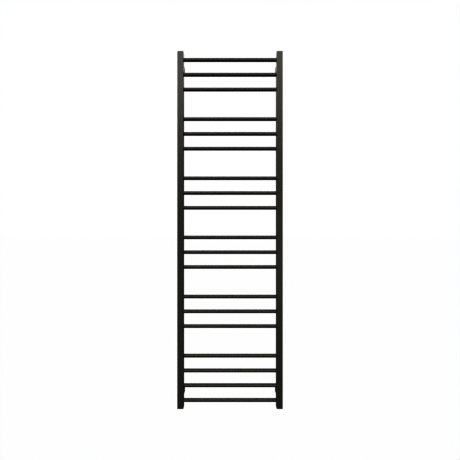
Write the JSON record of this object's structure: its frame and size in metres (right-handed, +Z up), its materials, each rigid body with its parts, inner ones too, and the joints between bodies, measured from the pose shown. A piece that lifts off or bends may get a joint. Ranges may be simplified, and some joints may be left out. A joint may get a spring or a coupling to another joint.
{
  "type": "towel warmer rack",
  "caption": "Tall ladder-shaped towel warmer: flat-faced posts, round rungs in groups, bottom water ports, rear air vent and sliding square wall brackets.",
  "frame": {"origin": "on the wall, at the centre of the rectangle of the four fixing screw holes", "axes": "+X along the rungs to the viewer's right, +Y from the rail into the wall, +Z up"},
  "size_m": [0.53, 0.06, 1.8],
  "materials": {
    "satin_black": "satin black powder coat with a very fine, even texture",
    "plain_steel": "plain turned steel, mostly hidden in the posts",
    "blackened_steel": "black oxide on alloy steel",
    "nickel_plate": "satin nickel plating on brass",
    "spindle_brass": "turned brass",
    "seal_rubber": "black sealing rubber"
  },
  "bodies": {
    "wall_brackets": {"socket_top_left": "satin_black", "socket_bottom_left": "satin_black", "socket_top_right": "satin_black", "socket_bottom_right": "satin_black", "grub_screw_top_left": "blackened_steel", "grub_screw_bottom_left": "blackened_steel", "grub_screw_top_right": "blackened_steel", "grub_screw_bottom_right": "blackened_steel"},
    "rail": {"blanking_plug": "nickel_plate", "insert_bottom_left": "plain_steel", "insert_bottom_right": "plain_steel", "insert_top_left": "plain_steel", "insert_top_right": "plain_steel", "left_port_block": "satin_black", "left_post": "satin_black", "left_top_cap": "satin_black", "plug_boss": "plain_steel", "plug_seal": "seal_rubber", "right_port_block": "satin_black", "right_post": "satin_black", "right_top_cap": "satin_black", "rung_01": "satin_black", "rung_02": "satin_black", "rung_03": "satin_black", "rung_04": "satin_black", "rung_05": "satin_black", "rung_06": "satin_black", "rung_07": "satin_black", "rung_08": "satin_black", "rung_09": "satin_black", "rung_10": "satin_black", "rung_11": "satin_black", "rung_12": "satin_black", "rung_13": "satin_black", "rung_14": "satin_black", "rung_15": "satin_black", "rung_16": "satin_black", "rung_17": "satin_black", "rung_18": "satin_black", "rung_19": "satin_black", "spigot_bottom_left": "satin_black", "spigot_bottom_right": "satin_black", "spigot_top_left": "satin_black", "spigot_top_right": "satin_black", "vent_body": "nickel_plate", "vent_boss": "plain_steel", "vent_seal": "seal_rubber"},
    "bleed_spindle": {"vent_spindle": "spindle_brass"}
  },
  "joints": [
    {"name": "rail_depth", "type": "slide", "parent": "wall_brackets", "child": "rail", "axis": [0, 1, 0], "range_m": [-0.005, 0.0025]},
    {"name": "vent_turn", "type": "hinge", "parent": "rail", "child": "bleed_spindle", "pos_m": [0.25, -0.025, 0.884], "axis": [0, 1, 0], "range_deg": [0, 360]}
  ]
}
